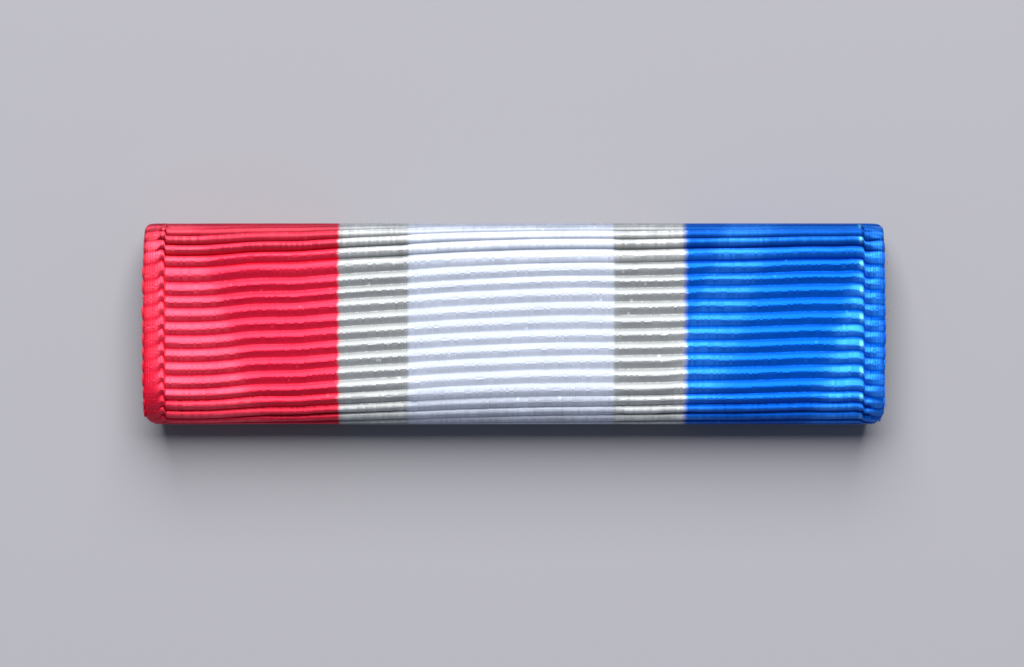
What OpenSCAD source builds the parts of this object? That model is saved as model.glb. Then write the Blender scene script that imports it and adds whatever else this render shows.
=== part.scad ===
// A ribbon bar: a ribbed ribbon wrapped round a sheet metal holder.
// It lies on its back with the front up. X runs along the bar, Y is up as it is worn,
// and Z is its thickness. The origin is the middle of the back, where it rests.

/* [Bar] */
// Width of the bar from end to end
bar_w = 34.925; // [24:0.025:50]
// Height of the bar over its ribs
bar_h = 9.525; // [9:0.025:13]
// Radius of the front's long edges, over the ribs
edge_r = 1.9; // [1.3:0.05:2]
// Radius of the back's long edges, over the ribs
back_r = 1; // [0.6:0.05:1.1]
// How far the middle of each end stands out past its corners
end_bulge = 0.2; // [0:0.05:0.5]
// Radius of the corners on the lower edge, seen from the front
low_corner_r = 0.5; // [0.1:0.05:0.6]
// Radius of the corners on the upper edge, seen from the front
high_corner_r = 0.25; // [0.1:0.05:0.6]

/* [Cloth] */
// Thickness of the ribbon over its ribs
cloth_t = 1; // [0.8:0.05:1.1]
// Distance from one rib to the next
rib_pitch = 0.62; // [0.5:0.01:0.9]
// Depth of the grooves between the ribs
groove_d = 0.25; // [0.1:0.01:0.35]
// Width of the woven edge at each end
selvage_w = 1; // [0.6:0.05:1.6]
// Thickness of the ribbon where the holder grips it
grip_t = 0.65; // [0.5:0.05:0.8]

/* [Stripes] */
// Width of the white stripe in the middle
white_w = 9.75; // [6:0.05:12]
// Width of each silver stripe
silver_w = 3.25; // [2:0.05:4.5]
// How far the stripes lie off the middle, towards the blue
stripe_shift = -0.1; // [-0.5:0.05:0.5]

/* [Holder] */
// Thickness of the holder's sheet metal
sheet_t = 0.25; // [0.2:0.01:0.3]
// Clear height of the channel that slides on a mounting bar
channel_h = 0.8; // [0.7:0.05:1.2]
// Width of the channel's mouth at the back
mouth_w = 4.8; // [3:0.1:5.2]
// Flat width of the hems that grip the ribbon's ends
hem_w = 0.6; // [0.3:0.05:0.7]
// Outer radius of the holder's long edges at the back
bend_r = 0.4; // [0.3:0.05:0.45]
// How far the ribbon's corners reach past the holder at each end
end_cover = 0.15; // [0.05:0.05:0.8]
// Clearance between the ribbon and the metal
fit = 0.05; // [0.03:0.01:0.1]

/* [Hidden] */

// Levels above the surface that the bar rests on
flap_low = sheet_t + fit;
flap_top = flap_low + grip_t;
lip_low = flap_top + fit;
web_low = lip_low + sheet_t + channel_h;
web_top = web_low + sheet_t;
bar_t = web_top + fit + cloth_t;

// The wall of the ribbon: an outer line over the ribs and an inner line at the metal,
// each a flat front, an arc, a side, an arc and a flap, from the middle of the front
// to the ribbon's end.
half_w = bar_w / 2;
half_h = bar_h / 2;
side_min = 0.05;
inner_back_r = 0.2;
edge_round = max(min(edge_r, bar_t - flap_low - side_min - back_r), cloth_t + side_min);
back_round = min(back_r, bar_t - flap_low - side_min - edge_round);
front_flat = half_h - edge_round;
hem_bend_r = lip_low / 2 + sheet_t / 2;
flap_end = mouth_w / 2 + hem_bend_r;
quarter = PI / 2;
line_parts = [
    front_flat,
    edge_round * quarter,
    bar_t - edge_round - flap_low - back_round,
    back_round * quarter,
    half_h - back_round - flap_end
];
function total(list, count) = count == 0 ? 0 : list[count - 1] + total(list, count - 1);
half_line = total(line_parts, len(line_parts));

function mix(from, to, share) = from + (to - from) * share;

function outer_point(part, share) =
    part == 0 ? [share * front_flat, bar_t] :
    part == 1 ? [front_flat + edge_round * sin(90 * share),
                 bar_t - edge_round + edge_round * cos(90 * share)] :
    part == 2 ? [half_h, mix(bar_t - edge_round, flap_low + back_round, share)] :
    part == 3 ? [half_h - back_round + back_round * cos(90 * share),
                 flap_low + back_round - back_round * sin(90 * share)] :
                [mix(half_h - back_round, flap_end, share), flap_low];

inner_side = half_h - cloth_t;
function inner_point(part, share) =
    part == 0 ? [share * front_flat, bar_t - cloth_t] :
    part == 1 ? [front_flat + (edge_round - cloth_t) * sin(90 * share),
                 bar_t - edge_round + (edge_round - cloth_t) * cos(90 * share)] :
    part == 2 ? [inner_side, mix(bar_t - edge_round, flap_top + inner_back_r, share)] :
    part == 3 ? [inner_side - inner_back_r + inner_back_r * cos(90 * share),
                 flap_top + inner_back_r - inner_back_r * sin(90 * share)] :
                [mix(inner_side - inner_back_r, flap_end, share), flap_top];

// Which part of the line a distance from the middle of the front falls in
function part_at(distance, part = 0) =
    part == len(line_parts) - 1 || distance < total(line_parts, part + 1)
        ? part : part_at(distance, part + 1);

// A point of the wall: how far round the line it lies, and how deep as a share of the wall
function wall_point(along, depth) =
    let (
        distance = min(abs(along), half_line),
        part = part_at(distance),
        share = (distance - total(line_parts, part)) / line_parts[part],
        point = mix(outer_point(part, share), inner_point(part, share), depth)
    )
    [along < 0 ? -point[0] : point[0], point[1]];

// Ribs: one groove at each end of a rib, with the round top between
ribs = round(2 * half_line / rib_pitch);
pitch = 2 * half_line / ribs;
rib_places = [0, 0.1, 0.3, 0.5, 0.7, 0.9];
rib_steps = len(rib_places);
outer_count = ribs * rib_steps + 1;
inner_count = ribs + 1;
ring_count = outer_count + inner_count;
function rib_depth(place) = groove_d / cloth_t * (1 - sqrt(1 - pow(2 * place - 1, 2)));

// How the ribs wander along the bar: a place as a share of its width from the red end,
// and how far they lie towards the lower edge there, as a share of the pitch
PLACE = 0;
DROP = 1;
wave = [
    [0.03, 1.14], [0.06, 1.26], [0.1, 1.14], [0.14, 0.87], [0.2, 0.79], [0.25, 0.56],
    [0.29, 0.38], [0.37, 0.14], [0.46, -0.14], [0.55, -0.33], [0.65, -0.35], [0.74, -0.49],
    [0.82, -0.49], [0.87, -0.6], [0.92, -0.7], [0.97, -0.65]
];
function wave_drop(x) = lookup(0.5 + x / bar_w, [for (row = wave) [row[PLACE], row[DROP]]]);

// The woven edges, from the end of the bar inwards: the place as a share of the selvage,
// how much the wall thins, how deep the grooves are, and how far the ribs step down at
// the red and at the blue end, as a share of the pitch
FROM_END = 0;
SELVAGE_THIN = 1;
SELVAGE_GROOVE = 2;
RED_STEP = 3;
BLUE_STEP = 4;
selvage = [
    [0, 0.3, 0.4, -0.12, 0.42],
    [0.14, 0.08, 0.7, -0.16, 0.44],
    [0.55, 0, 0.85, -0.34, 0.5],
    [0.86, 0, 1, -0.52, 0.58]
];

// The stripes, from the red end: the colour, the width inside the woven edges, and the
// steps that its length is made in
COLOUR = 0;
WIDTH = 1;
STEPS = 2;
field_w = half_w - selvage_w;
stripes = [
    ["#e03d57", field_w + stripe_shift - white_w / 2 - silver_w, 5],
    ["#c3c9cb", silver_w, 2],
    ["#eef1f8", white_w, 4],
    ["#c3c9cb", silver_w, 2],
    ["#1274d8", field_w - stripe_shift - white_w / 2 - silver_w, 5]
];
function width_before(stripe) = stripe == 0 ? 0 : stripes[stripe - 1][WIDTH] + width_before(stripe - 1);
function steps_before(stripe) = stripe == 0 ? 0 : stripes[stripe - 1][STEPS] + steps_before(stripe - 1);
field_places = [
    for (i = [0 : len(stripes) - 1])
        for (step = [1 : stripes[i][STEPS]])
            -field_w + width_before(i) + stripes[i][WIDTH] * step / stripes[i][STEPS]
];

// A section across the bar: its place, the share of the end's shape that it takes, and
// its thinning, groove depth and rib step
X = 0;
END_SHARE = 1;
THIN = 2;
GROOVE = 3;
STEP = 4;
function selvage_section(row, side) = [
    side * (half_w - row[FROM_END] * selvage_w),
    1 - row[FROM_END],
    row[SELVAGE_THIN],
    row[SELVAGE_GROOVE],
    row[side < 0 ? RED_STEP : BLUE_STEP]
];
last_row = len(selvage) - 1;
sections = concat(
    [for (i = [0 : last_row]) selvage_section(selvage[i], -1)],
    [for (x = concat([-field_w], field_places)) [x, 0, 0, 1, 0]],
    [for (i = [last_row : -1 : 0]) selvage_section(selvage[i], 1)]
);
function stripe_start(i) = i == 0 ? 0 : len(selvage) + steps_before(i);
function stripe_end(i) = i == len(stripes) - 1 ? len(sections) - 1 : len(selvage) + steps_before(i + 1);

// How far a place on the end's edge is drawn in, so that the end bulges and its
// corners are round
function corner_pull(reach, radius) =
    let (past = max(0, reach - half_h + radius))
    radius - sqrt(max(0, pow(radius, 2) - pow(past, 2)));
function end_pull(along) =
    let (
        reach = abs(along) > front_flat + line_parts[1] ? half_h : abs(wall_point(along, 0)[0]),
        radius = along < 0 ? low_corner_r : high_corner_r
    )
    min(end_bulge * pow(reach / half_h, 2) + corner_pull(reach, radius), 0.8 * selvage_w);

// The ribs keep their wave over the front and the edges, and are level in the flaps
wave_reach = front_flat + line_parts[1] * 0.7;
function wave_share(along) =
    let (past = max(0, abs(along) - wave_reach) / (half_line - wave_reach))
    0.5 + 0.5 * cos(180 * past);

function ring_point(section, along, depth) =
    let (
        level = -pitch * (wave_drop(section[X]) + section[STEP]),
        placed = along + level * wave_share(along),
        wall = wall_point(placed, mix(section[THIN], 1, depth)),
        pulled = sign(section[X]) * section[END_SHARE] * end_pull(placed)
    )
    [section[X] - pulled, wall[0], wall[1]];

// One ring of the ribbon: the ribbed outside from flap to flap, and back along the inside
function ring(section) = concat(
    [for (i = [0 : outer_count - 1])
        let (
            rib = floor(i / rib_steps),
            place = rib_places[i % rib_steps],
            depth = rib_depth(place) * section[GROOVE]
        )
        ring_point(section, (rib + place) * pitch - half_line, depth)],
    [for (rib = [ribs : -1 : 0]) ring_point(section, rib * pitch - half_line, 1)]
);

// The end faces are one cell behind each rib, so that every cell is convex
function end_cell(rib, first) = concat(
    [for (i = [0 : rib_steps]) first + rib * rib_steps + i],
    [first + outer_count + ribs - rib - 1, first + outer_count + ribs - rib]
);
function reversed(list) = [for (i = [len(list) - 1 : -1 : 0]) list[i]];

module cloth(from, to) {
    rings = to - from + 1;
    points = [for (i = [from : to]) each ring(sections[i])];
    walls = [
        for (i = [0 : rings - 2])
            for (k = [0 : ring_count - 1])
                let (
                    next = (k + 1) % ring_count,
                    near = i * ring_count,
                    far = near + ring_count
                )
                each [
                    [near + k, near + next, far + next],
                    [near + k, far + next, far + k]
                ]
    ];
    red_end = [for (rib = [0 : ribs - 1]) reversed(end_cell(rib, 0))];
    blue_end = [for (rib = [0 : ribs - 1]) end_cell(rib, (rings - 1) * ring_count)];
    polyhedron(points = points, faces = concat(walls, red_end, blue_end), convexity = 12);
}

module ribbon() {
    for (i = [0 : len(stripes) - 1])
        color(stripes[i][COLOUR]) cloth(stripe_start(i), stripe_end(i));
}

// A hair of overlap, so that cuts clear their faces and joined metal is one solid
lap = 0.02;

// What rounding takes off a corner of the holder's section: rise is 1 at a low corner
// and -1 at a high one
module corner_waste(side, half_y, level, rise, radius) {
    difference() {
        translate([side > 0 ? half_y - radius : -half_y - lap, rise > 0 ? level - lap : level - radius])
            square(radius + lap);
        translate([side * (half_y - radius), level + rise * radius]) circle(r = radius, $fn = 48);
    }
}

// A block of the holder's section, with one radius for its low corners and one for the high
module round_block(half_y, low, high, low_r, high_r) {
    difference() {
        translate([-half_y, low]) square([2 * half_y, high - low]);
        for (side = [-1, 1]) {
            corner_waste(side, half_y, low, 1, low_r);
            corner_waste(side, half_y, high, -1, high_r);
        }
    }
}

// The hem on one side: the lip turns round the ribbon's end and runs back under it
module hem() {
    difference() {
        translate([flap_end, hem_bend_r]) circle(r = hem_bend_r, $fn = 64);
        translate([flap_end, hem_bend_r]) circle(r = hem_bend_r - sheet_t, $fn = 64);
        translate([flap_end, -lap]) square(2 * (hem_bend_r + lap));
    }
    translate([flap_end - lap, 0]) square([hem_w + lap, sheet_t]);
}

module holder_section() {
    outer_y = half_h - cloth_t - fit;
    front_r = max(edge_round - cloth_t - fit, sheet_t + fit);
    back_bend = min(bend_r, web_top - lip_low - front_r - fit);
    difference() {
        round_block(outer_y, lip_low, web_top, back_bend, front_r);
        round_block(outer_y - sheet_t, lip_low + sheet_t, web_low, back_bend - sheet_t, front_r - sheet_t);
        translate([lap - flap_end, 0]) square([2 * (flap_end - lap), lip_low + 2 * sheet_t]);
    }
    hem();
    mirror([1, 0]) hem();
}

module holder() {
    length = bar_w - 2 * (end_bulge + max(low_corner_r, high_corner_r) + end_cover);
    color("#c9a86a")
    translate([-length / 2, 0, 0]) rotate([90, 0, 90]) linear_extrude(length) holder_section();
}

ribbon();
holder();
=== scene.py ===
import math
import bpy
import bmesh
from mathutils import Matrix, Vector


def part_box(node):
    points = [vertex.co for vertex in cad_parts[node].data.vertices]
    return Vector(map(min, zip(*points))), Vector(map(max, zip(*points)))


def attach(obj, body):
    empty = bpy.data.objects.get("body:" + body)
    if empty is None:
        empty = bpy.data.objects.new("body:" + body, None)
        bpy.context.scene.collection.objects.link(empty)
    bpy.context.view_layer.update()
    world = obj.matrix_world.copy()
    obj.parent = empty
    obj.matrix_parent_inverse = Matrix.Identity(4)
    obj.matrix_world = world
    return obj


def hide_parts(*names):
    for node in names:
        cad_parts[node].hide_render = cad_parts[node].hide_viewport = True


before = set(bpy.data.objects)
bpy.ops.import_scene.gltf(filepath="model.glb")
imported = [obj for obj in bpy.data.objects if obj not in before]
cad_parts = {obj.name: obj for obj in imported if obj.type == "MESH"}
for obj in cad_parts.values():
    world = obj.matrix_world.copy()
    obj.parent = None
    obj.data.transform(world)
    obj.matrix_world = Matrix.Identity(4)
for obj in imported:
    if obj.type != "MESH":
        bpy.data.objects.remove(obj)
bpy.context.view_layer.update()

mm = 0.001
ribbonLow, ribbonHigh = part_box("ribbon")
halfWidth = (ribbonHigh[0] - ribbonLow[0]) / 2
halfHeight = (ribbonHigh[1] - ribbonLow[1]) / 2
frontLevel = ribbonHigh[2]
flatLength = 16.6 * mm  # of the cloth round the bar, from flap end to flap end
slant = 0.009  # share of the bar's width that the shining bands move by in a millimetre round the cloth


# Fields: sums on node sockets, the same in geometry and in shader trees

class Field:
    def __init__(self, tree, socket):
        self.tree = tree
        self.socket = socket

    def calc(self, operation, *others):
        node = self.tree.nodes.new("ShaderNodeMath")
        node.operation = operation
        for socket, value in zip(node.inputs, (self, *others)):
            plug(self.tree, socket, value)
        return Field(self.tree, node.outputs[0])

    def __add__(self, other):
        return self.calc("ADD", other)

    def __sub__(self, other):
        return self.calc("SUBTRACT", other)

    def __rsub__(self, other):
        return (self * -1).calc("ADD", other)

    def __mul__(self, other):
        return self.calc("MULTIPLY", other)

    def __truediv__(self, other):
        return self.calc("DIVIDE", other)

    def __lt__(self, other):
        return self.calc("LESS_THAN", other)

    def __gt__(self, other):
        return self.calc("GREATER_THAN", other)

    def __abs__(self):
        return self.calc("ABSOLUTE")


def plug(tree, socket, value):
    if isinstance(value, Field):
        tree.links.new(value.socket, socket)
    elif isinstance(value, bpy.types.NodeSocket):
        tree.links.new(value, socket)
    else:
        socket.default_value = value


def addNode(tree, kind, **settings):
    node = tree.nodes.new(kind)
    for name, value in settings.items():
        setattr(node, name, value)
    return node


# y of a drawn curve at x, where x runs from 0 to 1 and the points hold real values of y
def drawn(tree, x, points):
    low = min(y for place, y in points)
    span = max(y for place, y in points) - low
    node = addNode(tree, "ShaderNodeFloatCurve")
    line = node.mapping.curves[0]
    spots = [(place, (y - low) / span) for place, y in points]
    for point, spot in zip(line.points, spots[:2]):
        point.location = spot
    for spot in spots[2:]:
        line.points.new(*spot)
    for point in line.points:
        point.handle_type = "AUTO"
    node.mapping.update()
    plug(tree, node.inputs["Value"], x)
    return Field(tree, node.outputs[0]) * span + low


def vectorOf(tree, x, y, z):
    node = addNode(tree, "ShaderNodeCombineXYZ")
    for socket, value in zip(node.inputs, (x, y, z)):
        plug(tree, socket, value)
    return node.outputs[0]


def partsOf(tree, vector):
    node = addNode(tree, "ShaderNodeSeparateXYZ")
    tree.links.new(vector, node.inputs[0])
    return [Field(tree, socket) for socket in node.outputs]


# Smooth noise from -0.5 to 0.5
def noiseAt(tree, vector, scale=1.0, detail=1.0):
    node = addNode(tree, "ShaderNodeTexNoise")
    tree.links.new(vector, node.inputs["Vector"])
    node.inputs["Scale"].default_value = scale
    node.inputs["Detail"].default_value = detail
    return Field(tree, node.outputs[0]) - 0.5


# The same over two fields, from the scale on each and a number that sets one noise apart from others
def noiseOver(tree, first, second, scales, detail=1.0):
    firstScale, secondScale, seed = scales
    return noiseAt(tree, vectorOf(tree, first * firstScale, second * secondScale, seed), detail=detail)


# One value from -0.5 to 0.5 for each whole-numbered place
def whiteAt(tree, vector):
    node = addNode(tree, "ShaderNodeTexWhiteNoise", noise_dimensions="3D")
    tree.links.new(vector, node.inputs["Vector"])
    return Field(tree, node.outputs["Value"]) - 0.5


# A node tree: its own inputs come first and then its named numbers, which are also given as fields
def newTree(name, kind, numbers, outputs, inputs=()):
    tree = bpy.data.node_groups.new(name, kind)
    for label, socketKind in inputs:
        tree.interface.new_socket(label, in_out="INPUT", socket_type=socketKind)
    for label, value in numbers.items():
        socketKind = "NodeSocketInt" if isinstance(value, int) else "NodeSocketFloat"
        item = tree.interface.new_socket(label, in_out="INPUT", socket_type=socketKind)
        item.default_value = value
    for label, socketKind in outputs:
        tree.interface.new_socket(label, in_out="OUTPUT", socket_type=socketKind)
    groupIn = tree.nodes.new("NodeGroupInput")
    groupOut = tree.nodes.new("NodeGroupOutput")
    given = {label: Field(tree, groupIn.outputs[label]) for label in numbers}
    return tree, groupIn, groupOut, given


def newGeometryTree(name, numbers):
    inputs = [("Geometry", "NodeSocketGeometry"), ("Material", "NodeSocketMaterial")]
    outputs = [("Geometry", "NodeSocketGeometry")]
    return newTree(name, "GeometryNodeTree", numbers, outputs, inputs)


# Ends a geometry tree: smooth, with its instances made real, and dressed in the material
def finishTree(tree, groupIn, groupOut, geometry):
    smooth = addNode(tree, "GeometryNodeSetShadeSmooth")
    real = addNode(tree, "GeometryNodeRealizeInstances")
    dress = addNode(tree, "GeometryNodeSetMaterial")
    tree.links.new(geometry, smooth.inputs["Geometry"])
    tree.links.new(smooth.outputs[0], real.inputs[0])
    tree.links.new(real.outputs[0], dress.inputs["Geometry"])
    tree.links.new(groupIn.outputs["Material"], dress.inputs["Material"])
    tree.links.new(dress.outputs[0], groupOut.inputs[0])


# Runs a tree on a curve or mesh and keeps the result as a plain mesh of one material
def grown(name, base, tree, values, material):
    carrier = bpy.data.objects.new(name + "Base", base)
    bpy.context.collection.objects.link(carrier)
    modifier = carrier.modifiers.new("grow", "NODES")
    modifier.node_group = tree
    for item in tree.interface.items_tree:
        if item.in_out == "INPUT" and item.name in values:
            modifier[item.identifier] = values[item.name]
        if item.in_out == "INPUT" and item.name == "Material":
            modifier[item.identifier] = material
    bpy.context.view_layer.update()
    graph = bpy.context.evaluated_depsgraph_get()
    mesh = bpy.data.meshes.new_from_object(carrier.evaluated_get(graph), depsgraph=graph)
    mesh.name = name
    mesh.materials.clear()
    mesh.materials.append(material)
    mesh.polygons.foreach_set("material_index", [0] * len(mesh.polygons))
    bpy.data.objects.remove(carrier)
    piece = bpy.data.objects.new(name, mesh)
    bpy.context.collection.objects.link(piece)
    return piece


# The camera looks straight down on the bar, as in the photo

photoView = {
    "imageWidth": 1024,  # in pixels, as the next three are
    "barWidth": 742.5,  # from end to end
    "barRight": 2.0,  # the bar's middle, to the right of the image's
    "barUp": 9.75,  # and above it
    "distance": 240 * mm,  # from the bar's front face
    "nearest": 1 * mm,
    "sensor": 36.0,
}


def addCamera():
    pixel = 2 * halfWidth / photoView["barWidth"]
    data = bpy.data.cameras.new("photoCamera")
    data.sensor_width = photoView["sensor"]
    data.lens = photoView["sensor"] * photoView["distance"] / (pixel * photoView["imageWidth"])
    data.clip_start = photoView["nearest"]
    camera = bpy.data.objects.new("photoCamera", data)
    camera.location = (
        -photoView["barRight"] * pixel,
        -photoView["barUp"] * pixel,
        frontLevel + photoView["distance"],
    )
    bpy.context.collection.objects.link(camera)
    bpy.context.scene.camera = camera


addCamera()
print("camera placed")


# Materials

def newMaterial(name):
    material = bpy.data.materials.new(name)
    material.use_nodes = True
    tree = material.node_tree
    shader = tree.nodes["Principled BSDF"]
    return material, tree, shader


def placeGroup(tree, group, values):
    node = addNode(tree, "ShaderNodeGroup", node_tree=group)
    for name, value in values.items():
        plug(tree, node.inputs[name], value)
    return node


mottleNoise = {"Broad": (1.0, 2.0), "Fine": (7.0, 3.0)}  # scale and detail


# Slow, soft unevenness from -0.5 to 0.5, shared by the silk and the brass
def makeMottleGroup():
    numbers = {"Size": 1.0, "Stretch": 1.0, "Seed": 0.0}
    inputs = [("Place", "NodeSocketVector")]
    outputs = [(label, "NodeSocketFloat") for label in mottleNoise]
    tree, groupIn, groupOut, given = newTree("softMottle", "ShaderNodeTree", numbers, outputs, inputs)
    x, y, z = partsOf(tree, groupIn.outputs["Place"])
    size = given["Size"]
    spot = vectorOf(tree, x / size / given["Stretch"], y / size, z / size + given["Seed"])
    for label, (scale, detail) in mottleNoise.items():
        tree.links.new(noiseAt(tree, spot, scale, detail).socket, groupOut.inputs[label])
    return tree


softMottle = makeMottleGroup()

# Silk threads that run over the ribs, in millimetres where they are lengths
threads = {
    "Pitch": 0.13,  # of the threads side by side
    "Wander": 0.06,  # to both sides
    "Roundness": 0.003,
    "Top Power": 0.6,  # below 1, for flatter tops
    "Edge Roundness": 2.0,  # how much rounder they are in the woven edges
    "Unevenness": 0.028,  # how much sooner or later each thread turns over a crest
    "Own Share": 1.2,  # of that unevenness
    "Shared": 0.8,  # with the threads beside it
    "Turn Reach": 0.09,  # of the unevenness from the crest, in rib pitches
    "Fibres": 0.001,
    "Tone Spread": 0.3,
    "Glints Per Rib": 5.0,  # places on each thread where a painted glint may show, as if a turned fibre caught the light
    "Glint Threshold": 0.4965,  # few of them do
    "Glint Seed": 9.0,
}
# Scale on each of two fields, and the number that sets the noise apart
threadNoise = {
    "wander": (0.8, 0.9, 3.0),
    "neighbours": (4.5, 1.7, 2.0),
    "fibres": (40.0, 3.0, 5.0),
}


# The place along the bar from the red end, on lines that lean outwards towards the lower edge
def slantedPlace(across, along):
    return across / (2 * halfWidth / mm) + 0.5 - across.calc("SIGN") * along * slant


# Gives the threads' relief in millimetres, the tone of each, the ribs' crests and painted glints
def makeThreadGroup():
    numbers = {"Across": 0.0, "Along": 0.0, "Rib": 0.0, "Crest Gap": 0.0, "Edge": 0.0, **threads}
    outputs = [(label, "NodeSocketFloat") for label in ("Relief", "Tone", "Crest", "Glint")]
    tree, groupIn, groupOut, given = newTree("threadWeave", "ShaderNodeTree", numbers, outputs)
    across = given["Across"]
    along = given["Along"]
    rib = given["Rib"]
    wander = noiseOver(tree, across, along, threadNoise["wander"]) * given["Wander"]
    cell = (across + wander) / given["Pitch"]
    number = cell.calc("FLOOR")
    bulge = ((cell - number) * math.pi).calc("SINE").calc("POWER", given["Top Power"])
    ribNumber = rib.calc("FLOOR")
    own = whiteAt(tree, vectorOf(tree, number, ribNumber, 0.0))
    neighbours = noiseOver(tree, across, ribNumber, threadNoise["neighbours"])
    crest = (rib * 2 * math.pi).calc("COSINE") * -0.5 + 0.5
    gap = given["Crest Gap"] / given["Turn Reach"]
    turn = gap * (gap * gap * -1).calc("EXPONENT")
    fibres = noiseOver(tree, across, along, threadNoise["fibres"], 2.0)
    jag = turn * (own * given["Own Share"] + neighbours * given["Shared"]) * given["Unevenness"]
    rounded = bulge * given["Roundness"] * (given["Edge"] * given["Edge Roundness"] + 1.0)
    relief = rounded + jag + fibres * given["Fibres"]
    tone = own * given["Tone Spread"] + 0.5
    glintCell = (rib * given["Glints Per Rib"]).calc("FLOOR")
    chance = whiteAt(tree, vectorOf(tree, number, glintCell, given["Glint Seed"]))
    glint = chance > given["Glint Threshold"]
    for label, value in (("Relief", relief), ("Tone", tone), ("Crest", crest), ("Glint", glint)):
        tree.links.new(value.socket, groupOut.inputs[label])
    return tree


threadWeave = makeThreadGroup()

# Where there are five values, they are those of the stripes from red to blue; places are in millimetres
silk = {
    "borders": (-8.22, -5.0, 4.72, 8.04),  # of the stripes, from the bar's middle
    "softness": 0.05,  # half the width of a border
    "selvage": 1.05,  # width of a woven edge's rounder threads
    # Dye with painted shade towards a rib's upper groove, and the dye on the rest of it
    "deep": (
        (0.55, 0.003, 0.022),
        (0.12, 0.127, 0.132),
        (0.32, 0.355, 0.43),
        (0.12, 0.127, 0.132),
        (0.0, 0.03, 0.26),
    ),
    "pale": (
        (0.6, 0.0085, 0.038),
        (0.29, 0.306, 0.32),
        (0.38, 0.415, 0.51),
        (0.29, 0.306, 0.32),
        (0.001, 0.08, 0.5),
    ),
    # Painted highlight colour where the threads shine, and the tint of what they reflect
    "highlightColour": (
        (0.85, 0.07, 0.12),
        (0.9, 0.92, 0.94),
        (0.72, 0.78, 0.92),
        (0.9, 0.92, 0.94),
        (0.025, 0.2, 0.76),
    ),
    "sheen": (
        (1.0, 0.5, 0.6),
        (0.55, 0.6, 0.58),
        (0.55, 0.6, 0.6),
        (0.55, 0.6, 0.58),
        (0.02, 0.3, 0.9),
    ),
    "gloss": (0.42, 0.32, 0.12, 0.32, 0.42),  # dyed silk gives back light in its own colour
    "softGlow": (0.0, 0.2, 0.5, 0.2, 0.0),  # light spreads inside the undyed threads
    "glowReach": 0.3 * mm,  # in metres
    "bandHighlight": (1.0, 0.15, 0.15, 0.15, 1.0),  # how much the painted highlight bands below show
    "edgeHighlight": (0.65, 1.0, 1.0, 1.0, 0.5),  # how much the painted highlight over both edges shows
    "lowerSideShading": (1.0, 0.75, 0.45, 0.75, 1.0),  # how much of the painted shade on the cords' lower sides, below, shows
    "silverMiddle": 6.5,  # between a silver stripe's two borders
    "crestSpread": 0.05,  # how far a silver thread spreads over its neighbours on a crest
    "ragged": 0.09,  # how far a silver stripe's outer border strays
    "raggedNoise": (5.0, 1.0, 6.0),
    "patchSize": 1.6,  # of the slow unevenness
    "patchesPerRib": 0.7,  # how much of it changes from one rib to the next
    "bandBlur": 0.03,  # how far the patches move the bands
    "ridge": 3.0,  # how soon the painted highlight rises from a groove to its full strength
    "highlightBy": (0.8, 1.6, 0.2),  # of the painted highlight: patches, each thread's tone, and what is there without them
    "brightnessBy": (0.2, 0.22, 0.89),
    "leastPale": 0.62,  # share of pale dye, to which a thread's tone is added
    "edgePaleness": 2.5,  # how much the painted highlight over the edges adds to it
    # strength of the painted glints
    "glintShine": 0.3,
    "roughness": (0.43, 0.1),  # the least, and how much the threads differ
    "hookPlace": 16.36,  # seam of the blue woven edge, where every other cord turns and gets a painted highlight
    "hookWidth": 0.09,
    "hookHighlightColour": (0.13, 0.48, 0.9),
}


def attributeOf(tree, name):
    node = addNode(tree, "ShaderNodeAttribute", attribute_name=name)
    return Field(tree, node.outputs["Fac"])


# One colour of each stripe, by the place across the bar
def stripeColour(tree, place, colours):
    ramp = addNode(tree, "ShaderNodeValToRGB")
    width = 2 * halfWidth / mm
    stops = [(0.0, colours[0])]
    for border, before, after in zip(silk["borders"], colours, colours[1:]):
        stops.append((0.5 + (border - silk["softness"]) / width, before))
        stops.append((0.5 + (border + silk["softness"]) / width, after))
    while len(ramp.color_ramp.elements) < len(stops):
        ramp.color_ramp.elements.new(1.0)
    for element, (start, colour) in zip(ramp.color_ramp.elements, stops):
        element.position = start
        element.color = (*colour, 1.0)
    plug(tree, ramp.inputs[0], place / width + 0.5)
    return ramp.outputs[0]


# One number of each stripe
def stripeShare(tree, place, shares):
    return Field(tree, stripeColour(tree, place, [(share, share, share) for share in shares]))


def mixColours(tree, share, first, second, blend="MIX"):
    node = addNode(tree, "ShaderNodeMix", data_type="RGBA", blend_type=blend)
    plug(tree, node.inputs["Factor"], share)
    plug(tree, node.inputs["A"], first)
    plug(tree, node.inputs["B"], second)
    return node.outputs["Result"]


def greyOf(tree, value):
    node = addNode(tree, "ShaderNodeCombineColor")
    for socket in node.inputs[:3]:
        plug(tree, socket, value)
    return node.outputs[0]


# The tables below run from 0 to 1: along the bar from the red end to the blue, round the cloth from its
# lower end to its upper, or on a rib from its lower groove to its upper one

crestPlace = 0.48  # of a rib
# How strong the painted highlight is in bands along the bar, where the threads lie a little flatter
highlightBands = [
    (0.0, 0.3), (0.03, 0.45), (0.06, 0.45), (0.1, 0.4), (0.118, 0.1), (0.15, 0.0), (0.24, 0.05),
    (0.6, 0.05), (0.728, 0.15), (0.742, 0.45), (0.757, 0.6), (0.79, 0.55), (0.83, 0.1), (0.92, 0.05),
    (0.945, 0.6), (0.97, 0.8), (0.98, 0.6), (1.0, 0.6),
]
# The same round the cloth: a painted highlight over both edges, where the threads lie closer
highlightRound = [
    (0.0, 0.2), (0.15, 0.4), (0.22, 0.45), (0.26, 0.3), (0.3, 0.05), (0.34, 0.0), (0.64, 0.0), (0.69, 0.12),
    (0.74, 0.27), (0.85, 0.27), (1.0, 0.2),
]
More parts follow.
